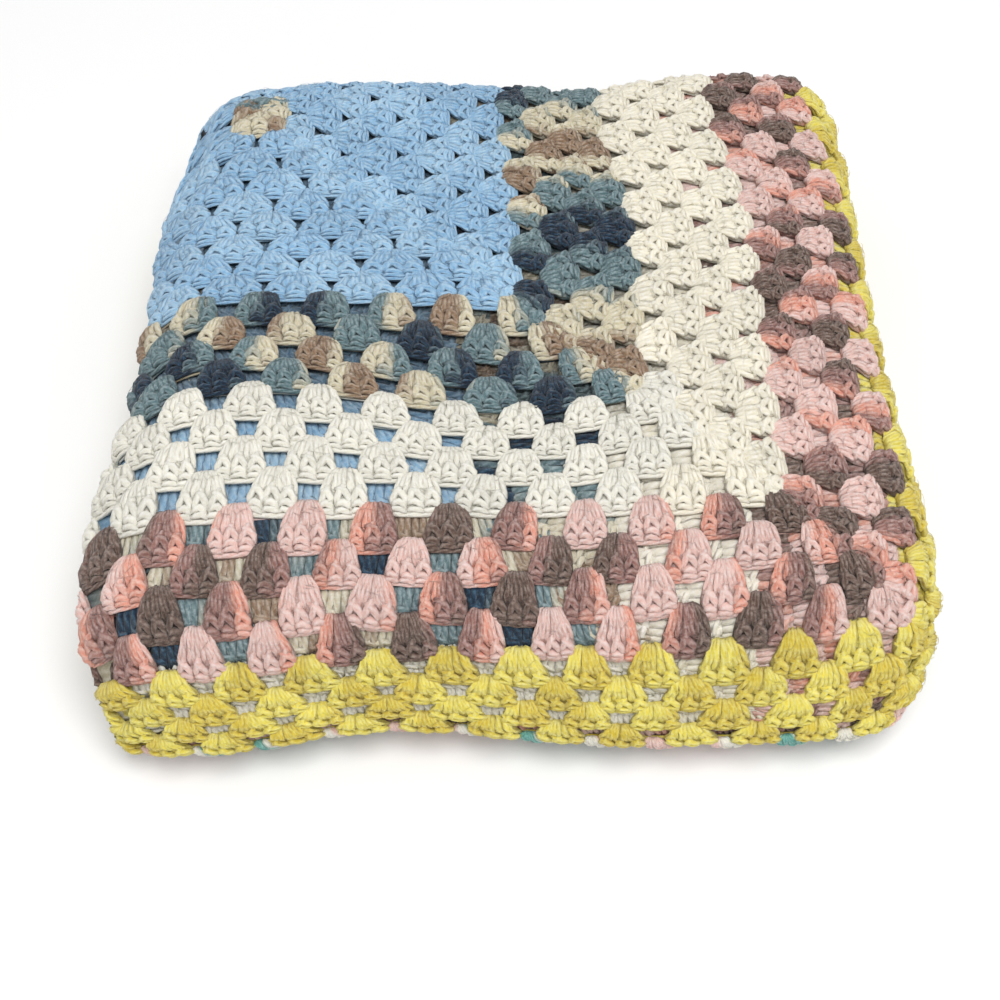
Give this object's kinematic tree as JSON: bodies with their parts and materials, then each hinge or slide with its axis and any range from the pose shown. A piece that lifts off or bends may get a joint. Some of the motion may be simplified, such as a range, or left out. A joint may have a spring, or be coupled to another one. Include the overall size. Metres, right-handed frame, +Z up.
{
  "type": "folded crochet afghan",
  "caption": "Square crochet blanket of granny-square clusters in banded colours, folded into a soft flat packet.",
  "frame": {"origin": "middle of the packet's flat underside", "axes": "+X right along the front edge, +Y to the back, +Z up through the layers"},
  "size_m": [0.2614, 0.2642, 0.0642],
  "materials": {
    "yarn": "soft worsted acrylic yarn, slightly fuzzy with a faint sheen, in bands of blue, cream, pinks and yellow"
  },
  "bodies": {
    "root": {"afghan_cloth": "yarn"}
  },
  "joints": []
}
